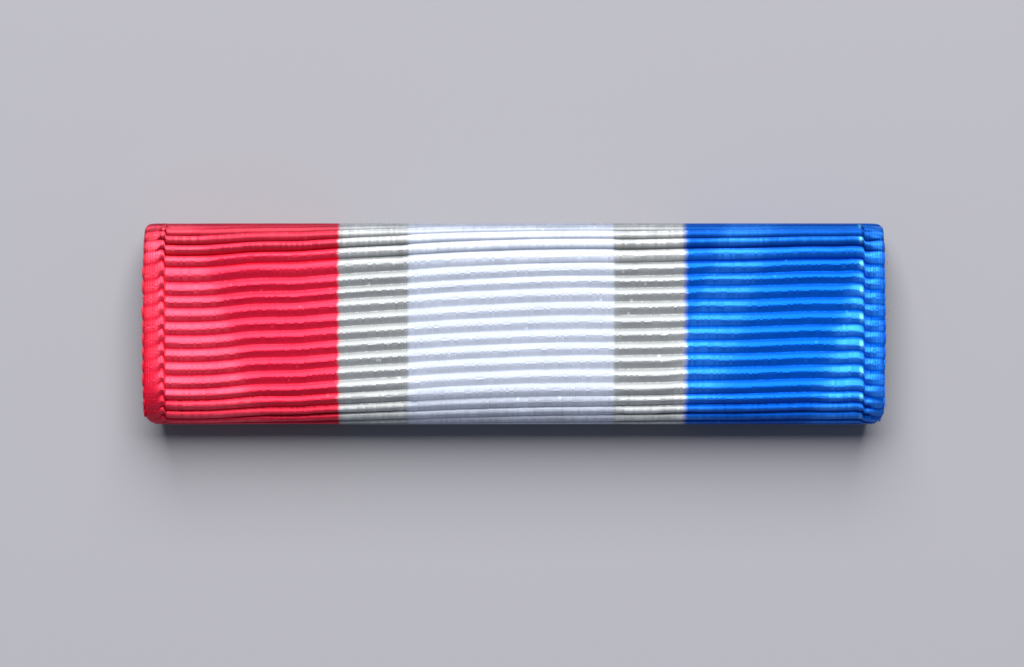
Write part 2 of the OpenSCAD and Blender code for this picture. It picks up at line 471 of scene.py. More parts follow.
# Share of the pale dye on a rib; the rest, towards its upper groove, is painted shade from the rib above
unshadedShare = [
    (0.0, 0.5), (0.06, 0.85), (0.15, 1.0), (0.5, 1.0), (0.56, 0.97), (0.7, 0.72), (0.85, 0.35),
    (0.95, 0.12), (1.0, 0.1),
]
# How unshaded the cloth is round the bar: painted shade, darker and bluer, where it turns over the upper
# edge
upperEdgeShade = [
    (0.0, 1.0), (0.76, 1.0), (0.79, 0.92), (0.81, 0.62), (0.85, 0.5), (0.9, 0.8), (1.0, 1.0),
]
# bluish tint of that painted shade
shadeTint = (0.8, 0.87, 1.0)
# Painted shade on the lower sides of the cords that stand apart: on a rib, and round the cloth
lowerSideShade = [
    (0.0, 1.0), (0.1, 1.0), (0.34, 0.9), (0.45, 0.3), (0.53, 0.0), (0.85, 0.0), (0.95, 0.3), (1.0, 0.9),
]
lowerSideShadeRound = [
    (0.0, 0.0), (0.66, 0.0), (0.7, 0.3), (0.74, 0.55), (0.79, 0.55), (0.83, 0.2), (0.87, 0.0), (1.0, 0.0),
]


# What rises with the slow patches and with each thread's tone
def weighed(patches, tone, weights):
    byPatches, byTone, rest = weights
    return patches * byPatches + tone * byTone + rest


# The dye of each stripe, with painted shade towards the ribs' upper grooves, and its painted highlight and
# glints
def silkColour(tree, at, tone, crest, patches, glint):
    across = at["across"]
    side = across.calc("SIGN")
    outwards = (abs(across) > silk["silverMiddle"]) * side
    ragged = noiseOver(tree, at["along"], side, silk["raggedNoise"], 2.0) * silk["ragged"]
    place = across - outwards * (crest * silk["crestSpread"] + ragged)
    deep = stripeColour(tree, place, silk["deep"])
    pale = stripeColour(tree, place, silk["pale"])
    highlightColour = stripeColour(tree, place, silk["highlightColour"])
    slanted = slantedPlace(across, at["along"]) + patches * silk["bandBlur"]
    bands = drawn(tree, slanted, highlightBands) * stripeShare(tree, across, silk["bandHighlight"])
    edgeHighlight = drawn(tree, at["around"], highlightRound) * stripeShare(tree, across, silk["edgeHighlight"])
    ridge = (crest * silk["ridge"]).calc("MINIMUM", 1.0)
    # painted highlight near the crests, in bands along the bar and over both edges
    highlight = (bands + edgeHighlight) * weighed(patches, tone, silk["highlightBy"]) * ridge
    # painted glints on the threads
    highlight = (highlight + glint * silk["glintShine"]).calc("MINIMUM", 1.0).calc("MAXIMUM", 0.0)
    # painted shade towards each rib's upper groove, lifted where the painted highlight over the edges lies
    share = drawn(tree, at["onRib"], unshadedShare).calc("MAXIMUM", edgeHighlight * silk["edgePaleness"])
    paleness = (tone + silk["leastPale"]).calc("MINIMUM", 1.0) * share
    return mixColours(tree, highlight, mixColours(tree, paleness, deep, pale), highlightColour)


# Painted highlight on the turns of every other cord beside the blue woven edge
def hookHighlighted(tree, at, crest, colour):
    fromHook = (at["across"] - silk["hookPlace"]) / silk["hookWidth"]
    everyOther = at["rib"].calc("FLOOR").calc("MODULO", 2.0)
    hookHighlight = (fromHook * fromHook * -1).calc("EXPONENT") * everyOther * crest
    return mixColours(tree, hookHighlight, colour, (*silk["hookHighlightColour"], 1.0))


# Painted shade over the upper edge and on the open cords' lower sides, and the threads' own light and dark
def paintedShadeColour(tree, at, tone, patches, colour):
    # painted shade, darker and bluer, over the upper edge
    unshadedTop = drawn(tree, at["around"], upperEdgeShade)
    shadeTinted = mixColours(tree, 1.0, colour, (*shadeTint, 1.0), "MULTIPLY")
    colour = mixColours(tree, 1 - unshadedTop, colour, shadeTinted)
    # painted shade on the lower sides of the open cords
    shadedSide = drawn(tree, at["onRib"], lowerSideShade) * drawn(tree, at["around"], lowerSideShadeRound)
    shadedSide = shadedSide * stripeShare(tree, at["across"], silk["lowerSideShading"])
    value = weighed(patches, tone, silk["brightnessBy"]) * unshadedTop * (1 - shadedSide)
    return mixColours(tree, 1.0, colour, greyOf(tree, value), "MULTIPLY")


def addBump(tree, shader, height, strength, distance):
    bump = addNode(tree, "ShaderNodeBump")
    bump.inputs["Strength"].default_value = strength
    bump.inputs["Distance"].default_value = distance
    plug(tree, bump.inputs["Height"], height)
    tree.links.new(bump.outputs[0], shader.inputs["Normal"])


def makeSilk():
    material, tree, shader = newMaterial("ribbonSilk")
    across, along, rib, gap = [attributeOf(tree, name) for name in ("across", "along", "rib", "crestGap")]
    around = along / (flatLength / mm) + 0.5
    at = {"across": across, "along": along, "rib": rib, "around": around, "onRib": gap + crestPlace}
    edge = abs(across) > halfWidth / mm - silk["selvage"]
    inputs = {"Across": across, "Along": along, "Rib": rib, "Crest Gap": gap, "Edge": edge, **threads}
    weave = placeGroup(tree, threadWeave, inputs)
    tone, crest, glint = [Field(tree, weave.outputs[name]) for name in ("Tone", "Crest", "Glint")]
    spot = vectorOf(tree, across, along, rib * silk["patchesPerRib"])
    mottle = placeGroup(tree, softMottle, {"Place": spot, "Size": silk["patchSize"]})
    patches = Field(tree, mottle.outputs["Broad"])

    colour = silkColour(tree, at, tone, crest, patches, glint)
    colour = hookHighlighted(tree, at, crest, colour)
    colour = paintedShadeColour(tree, at, tone, patches, colour)
    tree.links.new(colour, shader.inputs["Base Color"])
    least, spread = silk["roughness"]
    plug(tree, shader.inputs["Roughness"], tone * spread + least)
    plug(tree, shader.inputs["Metallic"], stripeShare(tree, across, silk["gloss"]))
    plug(tree, shader.inputs["Subsurface Weight"], stripeShare(tree, across, silk["softGlow"]))
    shader.inputs["Subsurface Radius"].default_value = (1.0, 1.0, 1.0)
    shader.inputs["Subsurface Scale"].default_value = silk["glowReach"]
    shader.inputs["Specular IOR Level"].default_value = 0.5
    tree.links.new(stripeColour(tree, across, silk["sheen"]), shader.inputs["Specular Tint"])
    addBump(tree, shader, weave.outputs["Relief"], 1.0, mm)
    return material


brass = {
    "dull": (0.36, 0.22, 0.08),
    "bright": (0.8, 0.6, 0.29),
    "mottle": {"Size": 2.6, "Stretch": 2.0, "Seed": 4.0},  # size in millimetres
    "brushing": (260.0, 26000.0),  # lines along the bar, per metre along and across
    "scratchWay": (160, 90, 70, 900),  # noise per metre along and across, slanted to the brushing
    "scratch": 0.006,  # share of the scratch noise that shows
    "scratchedFrom": 0.02,  # only where the fine mottle is above this
    "brightness": 0.62,  # share of the bright colour
    "brightnessBy": (1.5, 0.6, 0.35),  # broad mottle, fine mottle and brushing
    "scratchLight": 0.3,
    "roughness": 0.3,
    "roughnessBy": (0.3, 0.1, 0.2),
    "bump": (0.35, 0.004 * mm),  # strength and height
    "scratchDepth": 1.5,  # as against the brushing
}


def makeBrass():
    material, tree, shader = newMaterial("holderBrass")
    place = addNode(tree, "ShaderNodeTexCoord").outputs["Object"]
    x, y, z = partsOf(tree, place)
    along, over = brass["brushing"]
    brushed = noiseAt(tree, vectorOf(tree, x * along, y * over, z * over), 1.0, 3.0)
    spot = vectorOf(tree, x / mm, y / mm, z / mm)
    mottle = placeGroup(tree, softMottle, {"Place": spot, **brass["mottle"]})
    broad = Field(tree, mottle.outputs["Broad"])
    fine = Field(tree, mottle.outputs["Fine"])
    ahead, aside, back, up = brass["scratchWay"]
    line = noiseAt(tree, vectorOf(tree, x * ahead + y * aside, y * up - x * back, z * up))
    scratched = (abs(line) < brass["scratch"]) * (fine > brass["scratchedFrom"])
    byBroad, byFine, byBrush = brass["brightnessBy"]
    bright = broad * byBroad + fine * byFine + brushed * byBrush + brass["brightness"]
    ramp = addNode(tree, "ShaderNodeValToRGB")
    for element, name in zip(ramp.color_ramp.elements, ("dull", "bright")):
        element.color = (*brass[name], 1.0)
    plug(tree, ramp.inputs[0], bright + scratched * brass["scratchLight"])
    tree.links.new(ramp.outputs[0], shader.inputs["Base Color"])
    shader.inputs["Metallic"].default_value = 1.0
    byBroad, byFine, byBrush = brass["roughnessBy"]
    rough = brushed * byBrush - broad * byBroad - fine * byFine + brass["roughness"]
    plug(tree, shader.inputs["Roughness"], rough)
    addBump(tree, shader, brushed - scratched * brass["scratchDepth"], *brass["bump"])
    return material


ribbonSilk = makeSilk()
holderBrass = makeBrass()
print("materials made")


# The ribbon: one cloth that follows the wrap line, ribbed outside and smooth inside

ribbon = {
    "edgeRadius": 1.9 * mm,  # of the front's long edges, over the ribs
    "backRadius": 1.0 * mm,
    "flapEnd": 3.025 * mm,  # from the middle, where the hem holds the cloth's end
    "lineSteps": 24,  # of the wrap line in each of its stretches
    "fadeFrom": 0.7,  # share of the rounded edge up to which the ribs wander in full
    "gripped": 0.7 * mm,  # last stretch of a flap, at its least thickness
    "leastLean": -0.3,
    "sideThinning": 0.25,  # of the woven edges where the cloth stands upright, as against its flat sides
    "weld": 0.0005 * mm,
    "creaseAngle": 60.0,
    "inputs": {
        "Columns": 200,
        "Selvage Columns": 28,  # of these, over both woven edges
        "Ribs": 27,
        "Rows Per Rib": 16,
        "Inner Rows": 30,
        "Selvage Span": 1.25 * mm,
        "Groove Depth": 0.155 * mm,
        "Cloth Thickness": 0.97 * mm,
        "Grip Thickness": 0.65 * mm,
        "End Bulge": 0.05 * mm,
        "Low Corner": 0.45 * mm,
        "High Corner": 0.18 * mm,
        "Pair Unevenness": 0.08,
        "Rib Wander": 0.07,  # in rib pitches
        "Rib Unevenness": 0.08,
        "Lean Unevenness": 0.05,
    },
}
# Scale for each millimetre across and for each rib, and the number that sets the noise apart
ribNoise = {
    "wander": (0.11, 0.9, 1.7),
    "lean": (3.5, 1.9, 4.4),
    "height": (0.5, 1.3, 8.1),
}

# How far the ribs lie below their level along the bar, in rib pitches
wave = [
    (0.0, 1.31), (0.03, 1.38), (0.055, 1.41), (0.08, 1.39), (0.11, 1.28), (0.13, 1.17), (0.15, 1.08),
    (0.17, 1.05), (0.2, 1.03), (0.23, 0.9), (0.26, 0.75), (0.3, 0.59), (0.34, 0.46), (0.38, 0.3),
    (0.42, 0.15), (0.48, 0.0), (0.54, -0.12), (0.6, -0.17), (0.65, -0.16), (0.7, -0.2), (0.75, -0.28),
    (0.8, -0.3), (0.85, -0.38), (0.9, -0.47), (0.94, -0.48), (0.96, -0.53), (0.97, -0.46), (1.0, -0.44),
]
# How the ribs crowd and spread round the cloth, in pitches
drift = [
    (0.0, 0.0), (0.16, -0.16), (0.29, -0.23), (0.33, -0.15), (0.4, -0.08), (0.48, -0.03), (0.56, 0.05),
    (0.6, 0.1), (0.64, 0.02), (0.675, 0.04), (0.71, 0.22), (0.84, 0.17), (1.0, 0.0),
]
# Over a woven edge, from the bar's end inwards: how far the grooves are shifted down, in pitches
redStep = [
    (0.0, -0.1), (0.16, -0.15), (0.4, -0.22), (0.53, -0.3), (0.62, -0.43), (0.7, -0.51), (0.76, -0.49),
    (0.815, -0.12), (0.86, 0.0), (1.0, 0.0),
]
blueStep = [
    (0.0, 0.5), (0.4, 0.5), (0.58, 0.48), (0.66, 0.46), (0.73, 0.42), (0.77, 0.3), (0.83, 0.0), (1.0, 0.0),
]
# How high the ribs stand there
redRelief = [
    (0.0, 0.04), (0.2, 0.06), (0.4, 0.1), (0.52, 0.16), (0.6, 0.4), (0.7, 0.85), (0.8, 1.0), (0.88, 1.0),
    (1.0, 1.0),
]
blueRelief = [
    (0.0, 0.05), (0.2, 0.25), (0.4, 0.5), (0.52, 0.85), (0.62, 1.25), (0.8, 1.2), (0.9, 1.0), (1.0, 1.0),
]
# How much lower their crests lie there, and how thin the cloth is
redLean = [(0.0, 0.06), (0.5, 0.06), (0.7, 0.02), (0.86, 0.0), (1.0, 0.0)]
blueLean = [(0.0, -0.06), (0.5, -0.06), (0.7, -0.03), (0.86, 0.0), (1.0, 0.0)]
edgeDrop = [(0.0, 0.2), (0.06, 0.1), (0.16, 0.04), (0.32, 0.01), (0.6, 0.0), (1.0, 0.0)]
# Height of a rib from its lower groove to its upper one
ribShape = [
    (0.0, 0.0), (0.04, 0.065), (0.12, 0.235), (0.24, 0.53), (0.36, 0.82), (0.425, 0.95), (0.48, 1.0),
    (0.545, 0.955), (0.66, 0.765), (0.78, 0.515), (0.88, 0.265), (0.95, 0.075), (1.0, 0.0),
]
# The same where the cloth turns over its long edges and the cords stand apart
openShape = [
    (0.0, 0.0), (0.03, 0.34), (0.07, 0.51), (0.12, 0.65), (0.2, 0.8), (0.3, 0.92), (0.4, 0.98), (0.5, 1.0),
    (0.6, 0.98), (0.7, 0.92), (0.8, 0.8), (0.88, 0.65), (0.93, 0.51), (0.97, 0.34), (1.0, 0.0),
]
# How high the ribs stand round the cloth
roundRelief = [
    (0.0, 0.8), (0.1, 0.5), (0.17, 0.6), (0.205, 0.9), (0.235, 1.6), (0.27, 1.3), (0.33, 1.0), (0.65, 1.0),
    (0.69, 1.7), (0.73, 2.6), (0.78, 2.7), (0.83, 1.9), (0.9, 0.9), (1.0, 0.8),
]
# How much lower the crests lie round the cloth: under the lower edge they lean up, with short upper sides
leanRound = [
    (0.0, 0.0), (0.15, -0.15), (0.2, -0.24), (0.25, -0.22), (0.285, -0.1), (0.33, 0.0), (0.6, 0.0),
    (1.0, 0.0),
]
# How far their shape has changed to the open one, round the cloth
opening = [
    (0.0, 1.0), (0.2, 1.0), (0.25, 0.8), (0.29, 0.3), (0.33, 0.0), (0.61, 0.0), (0.67, 0.4), (0.71, 0.9),
    (0.76, 1.0), (1.0, 1.0),
]
# How high the ribs stand along the bar: the soft white threads fill their grooves
fullness = [
    (0.0, 1.0), (0.26, 1.0), (0.27, 0.9), (0.35, 0.9), (0.365, 0.5), (0.63, 0.5), (0.645, 0.9),
    (0.725, 0.9), (0.74, 1.0), (1.0, 1.0),
]
# How much lower the crests lie along the bar, in pitches: the lit sides are broader there
lean = [
    (0.0, 0.02), (0.08, 0.02), (0.118, 0.01), (0.14, -0.06), (0.2, -0.07), (0.28, -0.02), (0.36, -0.02),
    (0.38, 0.0), (0.6, 0.0), (0.63, 0.0), (0.66, -0.03), (0.73, -0.02), (0.74, -0.08), (0.82, -0.02),
    (0.9, -0.04), (0.945, -0.03), (0.96, 0.04), (1.0, 0.04),
]


# The line that the cloth follows round the bar, from one flap's end to the other's
def wrapLine():
    front = ribbon["edgeRadius"]
    back = ribbon["backRadius"]
    low = ribbonLow[2]
    bend = 4 / 3 * math.tan(math.pi / 8)  # handle of a quarter circle's arc
    # y, z, and the handle's way out and length on each side
    half = [
        (halfHeight - front, frontLevel, (1, 0), front),
        (halfHeight, frontLevel - front, (0, -1), front),
        (halfHeight, low + back, (0, -1), back),
        (halfHeight - back, low, (-1, 0), back),
        (ribbon["flapEnd"], low, (-1, 0), back),
    ]
    data = bpy.data.curves.new("wrapLine", "CURVE")
    data.dimensions = "3D"
    spline = data.splines.new("BEZIER")
    spline.bezier_points.add(2 * len(half) - 1)
    spline.resolution_u = ribbon["lineSteps"]
    mirrored = [(-y, z, (along[0], -along[1]), reach) for y, z, along, reach in reversed(half)]
    for point, (y, z, along, reach) in zip(spline.bezier_points, mirrored + half):
        point.co = (0, y, z)
        point.handle_left_type = point.handle_right_type = "FREE"
        step = bend * reach
        point.handle_left = (0, y - along[0] * step, z - along[1] * step)
        point.handle_right = (0, y + along[0] * step, z + along[1] * step)
    # Every other stretch is straight: its handles lie a third of the way
    points = list(spline.bezier_points)
    for start, end in zip(points[0::2], points[1::2]):
        third = (end.co - start.co) / 3
        start.handle_right = start.co + third
        end.handle_left = end.co - third
    return data


def lineLength(tree, groupIn):
    node = addNode(tree, "GeometryNodeCurveLength")
    tree.links.new(groupIn.outputs["Geometry"], node.inputs[0])
    return Field(tree, node.outputs[0])


# Place and direction of the line at a length along it
def lineAt(tree, groupIn, length):
    sample = addNode(tree, "GeometryNodeSampleCurve", mode="LENGTH", data_type="FLOAT")
    tree.links.new(groupIn.outputs["Geometry"], sample.inputs["Curves"])
    plug(tree, sample.inputs["Length"], length)
    return partsOf(tree, sample.outputs["Position"]), partsOf(tree, sample.outputs["Tangent"])


# One of two values by the bar's end
def byEnd(tree, onRed, edgeAt, red, blue):
    return onRed * drawn(tree, edgeAt, red) + (1 - onRed) * drawn(tree, edgeAt, blue)


# Where a rib's place really lies along the line: the ribs wander, and shift over the woven edges
def ribPlaced(tree, given, length, across, edgeAt, onRed, ribNumber, along):
    reach = halfHeight - ribbon["edgeRadius"] + ribbon["edgeRadius"] * math.pi / 2 * ribbon["fadeFrom"]
    past = (abs(along) - reach).calc("MAXIMUM", 0.0) / (length / 2 - reach)
    fade = (past * math.pi).calc("COSINE") * 0.5 + 0.5  # to nothing in the flaps
    odd = ribNumber.calc("MODULO", 2.0) * 2 - 1
    step = byEnd(tree, onRed, edgeAt, redStep, blueStep) * (odd * given["Pair Unevenness"] + 1)
    drop = drawn(tree, across / (2 * halfWidth) + 0.5, wave) + step
    wander = noiseOver(tree, across / mm, ribNumber, ribNoise["wander"]) * given["Rib Wander"] * 2
    shift = drawn(tree, along / length + 0.5, drift) + wander - drop
    placed = along + shift * fade * length / given["Ribs"]
    return placed.calc("MAXIMUM", length * -0.5).calc("MINIMUM", length * 0.5)


# Along the line from the front's middle to the end of the front's rounded edge
gripAt = halfHeight - ribbon["edgeRadius"] + ribbon["edgeRadius"] * math.pi / 2


# How far the cloth's ends draw back: they bulge in the middle and their corners are round
def endPull(given, placed, atY):
    beyond = abs(placed) > gripAt
    up = beyond * halfHeight + (1 - beyond) * abs(atY)
    low = placed < 0
    corner = low * given["Low Corner"] + (1 - low) * given["High Corner"]
    over = (up - halfHeight + corner).calc("MAXIMUM", 0.0)
    cornerPull = corner - (corner * corner - over * over).calc("MAXIMUM", 0.0).calc("SQRT")
    ratio = up / halfHeight
    return given["End Bulge"] * ratio * ratio + cornerPull


# Keeps fields on a mesh's points, for the materials
def stored(tree, mesh, values):
    for name, value in values.items():
        store = addNode(tree, "GeometryNodeStoreNamedAttribute", data_type="FLOAT", domain="POINT")
        store.inputs["Name"].default_value = name
        tree.links.new(mesh, store.inputs["Geometry"])
        plug(tree, store.inputs["Value"], value)
        mesh = store.outputs[0]
    return mesh


# From the grid's u: the place across, with closer columns over the woven edges
def placeAcross(u, given):
    side = u.calc("SIGN")
    fromEnd = 0.5 - abs(u)
    edgeShare = given["Selvage Columns"] / given["Columns"]
    span = given["Selvage Span"]
    inEdge = fromEnd < edgeShare
    edgePlace = fromEnd / edgeShare * span
    fieldPlace = span + (fromEnd - edgeShare) / (0.5 - edgeShare) * (halfWidth - span)
    fromTip = inEdge * edgePlace + (1 - inEdge) * fieldPlace
    across = side * (halfWidth - fromTip)
    edgeAt = (fromTip / span).calc("MINIMUM", 1.0)
    return side, across, edgeAt


# From the row: along the ribbed outside first, then back along the inside, then the seam
def placeAlong(row, outerRows, given, length):
    innerRows = given["Inner Rows"]
    perRib = given["Rows Per Rib"]
    inside = (row > outerRows + 0.5) * (row < outerRows + innerRows + 1.5)
    outside = 1 - inside
    outerRow = row * (row < outerRows + 0.5)
    ribNumber = (outerRow / perRib + 0.0001).calc("FLOOR")  # a little more, against rounding errors
    ribPlace = outerRow / perRib - ribNumber
    outerAlong = (ribNumber + ribPlace) * (length / given["Ribs"]) - length / 2
    innerAlong = length / 2 - (row - outerRows - 1) / innerRows * length
    along = outside * outerAlong + inside * innerAlong
    return inside, ribNumber, ribPlace, along


# The place on a rib, shifted by how its crest leans
def leanedPlace(tree, given, at, slanted):
    edgeLean = byEnd(tree, at["onRed"], at["edgeAt"], redLean, blueLean)
    jitter = noiseOver(tree, at["across"] / mm, at["ribNumber"], ribNoise["lean"], 2.0)
    bias = drawn(tree, slanted, lean) + edgeLean + drawn(tree, at["around"], leanRound)
    bias = (bias + jitter * given["Lean Unevenness"] * 2).calc("MAXIMUM", ribbon["leastLean"])
    return at["ribPlace"] + (at["ribPlace"] * math.pi).calc("SINE") * bias


# Depth of the outer face under the wrap line: ribs, grooves and thin woven edges
def outerDepth(tree, given, at, leaned, wayY):
    opened = drawn(tree, at["around"], opening)
    height = drawn(tree, leaned, ribShape) * (1 - opened) + drawn(tree, leaned, openShape) * opened
    uneven = noiseOver(tree, at["across"] / mm, at["ribNumber"], ribNoise["height"], 2.0)
    relief = byEnd(tree, at["onRed"], at["edgeAt"], redRelief, blueRelief)
    grooveShare = relief * (uneven * given["Rib Unevenness"] * 2 + 1)
    least = ribbon["sideThinning"]
    thinning = drawn(tree, at["edgeAt"], edgeDrop) * (abs(wayY) * (1 - least) + least)
    standing = drawn(tree, at["around"], roundRelief)
    full = drawn(tree, at["across"] / (2 * halfWidth) + 0.5, fullness)
    ribs = given["Groove Depth"] * (1 - height) * grooveShare * standing * full
    return ribs + thinning * given["Cloth Thickness"]


# Depth of the inner face: the hems press the flaps' ends thin
def innerDepth(given, placed, length):
    grip = (abs(placed) - gripAt) / (length / 2 - gripAt - ribbon["gripped"])
    grip = grip.calc("MAXIMUM", 0.0).calc("MINIMUM", 1.0)
    return given["Cloth Thickness"] + grip * (given["Grip Thickness"] - given["Cloth Thickness"])


def makeRibbonTree():
    tree, groupIn, groupOut, given = newGeometryTree("ribbedCloth", ribbon["inputs"])
    outerRows = given["Ribs"] * given["Rows Per Rib"]
    rows = outerRows + given["Inner Rows"] + 2
    grid = addNode(tree, "GeometryNodeMeshGrid")
    plug(tree, grid.inputs["Size X"], 1.0)
    plug(tree, grid.inputs["Size Y"], 1.0)
    plug(tree, grid.inputs["Vertices X"], given["Columns"] + 1)
    plug(tree, grid.inputs["Vertices Y"], rows + 1)
    u, v, flat = partsOf(tree, addNode(tree, "GeometryNodeInputPosition").outputs[0])

    length = lineLength(tree, groupIn)
    side, across, edgeAt = placeAcross(u, given)
    row = ((v + 0.5) * rows).calc("ROUND")
    inside, ribNumber, ribPlace, along = placeAlong(row, outerRows, given, length)
    onRed = side < 0
    placed = ribPlaced(tree, given, length, across, edgeAt, onRed, ribNumber, along)
    (atX, atY, atZ), (wayX, wayY, wayZ) = lineAt(tree, groupIn, placed + length / 2)
    at = {
        "across": across,
        "edgeAt": edgeAt,
        "onRed": onRed,
        "ribNumber": ribNumber,
        "ribPlace": ribPlace,
        "around": placed / length + 0.5,
    }
    leaned = leanedPlace(tree, given, at, slantedPlace(across / mm, along / mm))
    outer = outerDepth(tree, given, at, leaned, wayY)
    depth = (1 - inside) * outer + inside * innerDepth(given, placed, length)
    x = across - side * (1 - edgeAt) * endPull(given, placed, atY)
    spot = vectorOf(tree, x, atY + wayZ * depth, atZ - wayY * depth)

    # Stored before the move, while the grid's own place can still be read
    kept = {
        "across": across / mm,
        "along": placed / mm,
        "rib": ribPlace + ribNumber,
        "crestGap": leaned - crestPlace,
    }
    move = addNode(tree, "GeometryNodeSetPosition")
    tree.links.new(stored(tree, grid.outputs["Mesh"], kept), move.inputs["Geometry"])
    tree.links.new(spot, move.inputs["Position"])
    merge = addNode(tree, "GeometryNodeMergeByDistance")
    tree.links.new(move.outputs[0], merge.inputs["Geometry"])
    merge.inputs["Distance"].default_value = ribbon["weld"]
    finishTree(tree, groupIn, groupOut, merge.outputs[0])
    return tree


# Closes the two open ends of the cloth
def closeEnds(piece):
    shape = bmesh.new()
    shape.from_mesh(piece.data)
    for side in (-1, 1):
        rim = [e for e in shape.edges if e.is_boundary and e.verts[0].co.x * side > 0]
        bmesh.ops.triangle_fill(shape, edges=rim, use_beauty=True, normal=(side, 0, 0))
    bmesh.ops.recalc_face_normals(shape, faces=shape.faces)
    left = sum(1 for e in shape.edges if not e.is_manifold)
    print(piece.name, "faces", len(shape.faces), "open edges", left)
    shape.to_mesh(piece.data)
    shape.free()
    piece.data.set_sharp_from_angle(angle=math.radians(ribbon["creaseAngle"]))


ribbonPiece = grown("ribbonCloth", wrapLine(), makeRibbonTree(), ribbon["inputs"], ribbonSilk)
closeEnds(ribbonPiece)
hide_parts("ribbon")
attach(ribbonPiece, "root")
print("ribbon made")

# Loops of the cross cords where they turn at the woven edges, half sunk in the cloth's ends

loops = {
    "halfSize": (0.07 * mm, 0.38 * mm, 0.42 * mm),  # along the bar, along the edge and into the cloth
    "sunk": 0.01 * mm,
    "stray": 0.03 * mm,  # how far they differ along the bar
    "flapShift": 0.3,  # share of their depth by which they lie nearer to the line in the thin flaps
    "seed": 3.0,
    "inputs": {"Segments": 24, "Rings": 16, "Size Unevenness": 0.3},
}
for name in ("Ribs", "Rib Wander", "Pair Unevenness", "End Bulge", "Low Corner", "High Corner"):
    loops["inputs"][name] = ribbon["inputs"][name]


def markOf(tree, name):
    node = addNode(tree, "GeometryNodeInputNamedAttribute", data_type="FLOAT")
    node.inputs["Name"].default_value = name
    return Field(tree, node.outputs["Attribute"])


def makeLoopTree():
    tree, groupIn, groupOut, given = newGeometryTree("turnedCords", loops["inputs"])
    ribs = given["Ribs"]
    line = addNode(tree, "GeometryNodeMeshLine")
    plug(tree, line.inputs["Count"], ribs * 2)
    index = Field(tree, addNode(tree, "GeometryNodeInputIndex").outputs[0])
    onRed = index < ribs - 0.5
    number = index - (1 - onRed) * ribs
    side = 1 - onRed * 2
    length = lineLength(tree, groupIn)
    along = (number + 0.5) / ribs * length - length / 2
    across = side * halfWidth
    placed = ribPlaced(tree, given, length, across, 0.0, onRed, number, along)
    (atX, atY, atZ), (wayX, wayY, wayZ) = lineAt(tree, groupIn, placed + length / 2)
    inFlap = abs(placed) > halfHeight + ribbon["backRadius"] * 2
    depth = (1 - inFlap * loops["flapShift"]) * (ribbon["inputs"]["Cloth Thickness"] / 2)
    own = whiteAt(tree, vectorOf(tree, number, side, loops["seed"]))
    x = across - side * (endPull(given, placed, atY) + loops["sunk"] - own * loops["stray"])
    marks = {"turn": wayZ.calc("ARCTAN2", wayY), "size": own * given["Size Unevenness"] + 1}
    toPoint = addNode(tree, "GeometryNodeSetPosition")
    tree.links.new(stored(tree, line.outputs[0], marks), toPoint.inputs["Geometry"])
    tree.links.new(vectorOf(tree, x, atY + wayZ * depth, atZ - wayY * depth), toPoint.inputs["Position"])

    ball = addNode(tree, "GeometryNodeMeshUVSphere")
    plug(tree, ball.inputs["Segments"], given["Segments"])
    plug(tree, ball.inputs["Rings"], given["Rings"])
    ball.inputs["Radius"].default_value = 1.0
    shaped = addNode(tree, "GeometryNodeTransform")
    tree.links.new(ball.outputs["Mesh"], shaped.inputs["Geometry"])
    shaped.inputs["Scale"].default_value = loops["halfSize"]
    placeAll = addNode(tree, "GeometryNodeInstanceOnPoints")
    tree.links.new(toPoint.outputs[0], placeAll.inputs["Points"])
    tree.links.new(shaped.outputs[0], placeAll.inputs["Instance"])
    tree.links.new(vectorOf(tree, markOf(tree, "turn"), 0.0, 0.0), placeAll.inputs["Rotation"])
    size = markOf(tree, "size")
    tree.links.new(vectorOf(tree, size, 1.0, size), placeAll.inputs["Scale"])
    finishTree(tree, groupIn, groupOut, placeAll.outputs[0])
    return tree


offRibs = {"rib": 0.4, "crestGap": -0.3}  # a place near a crest, with the dye of a rib's lower side


# Silk that is on no rib: its stripe by its place across, and otherwise the look of one spot
def markSilk(piece):
    points = piece.data.vertices
    values = {
        "across": [point.co.x / mm for point in points],
        "along": [point.co.y / mm for point in points],
    }
    for name, value in offRibs.items():
        values[name] = [value] * len(points)
    layers = piece.data.attributes
    for name, numbers in values.items():
        layer = layers[name] if name in layers else layers.new(name, "FLOAT", "POINT")
        layer.data.foreach_set("value", numbers)


loopPiece = grown("selvageLoops", wrapLine(), makeLoopTree(), loops["inputs"], ribbonSilk)
markSilk(loopPiece)
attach(loopPiece, "root")
print("loops made")

# Fine fibres that stand off the turned cords

fibres = {
    "arc": {
        "Start": (0.0, 0.0, 0.0),
        "Middle": (0.06 * mm, 0.0, 0.16 * mm),
        "End": (0.2 * mm, 0.05 * mm, 0.2 * mm),
    },
    "steps": 7,  # along the arc
    "sides": 5,
    "mostTurn": (1.2, 1.2, math.tau),
    "inputs": {
        "Density": 2.6e6,  # per square metre
        "Seed": 3,
        "Thickness": 0.006 * mm,
        "Least Size": 0.35,
        "Most Size": 1.1,
    },
}


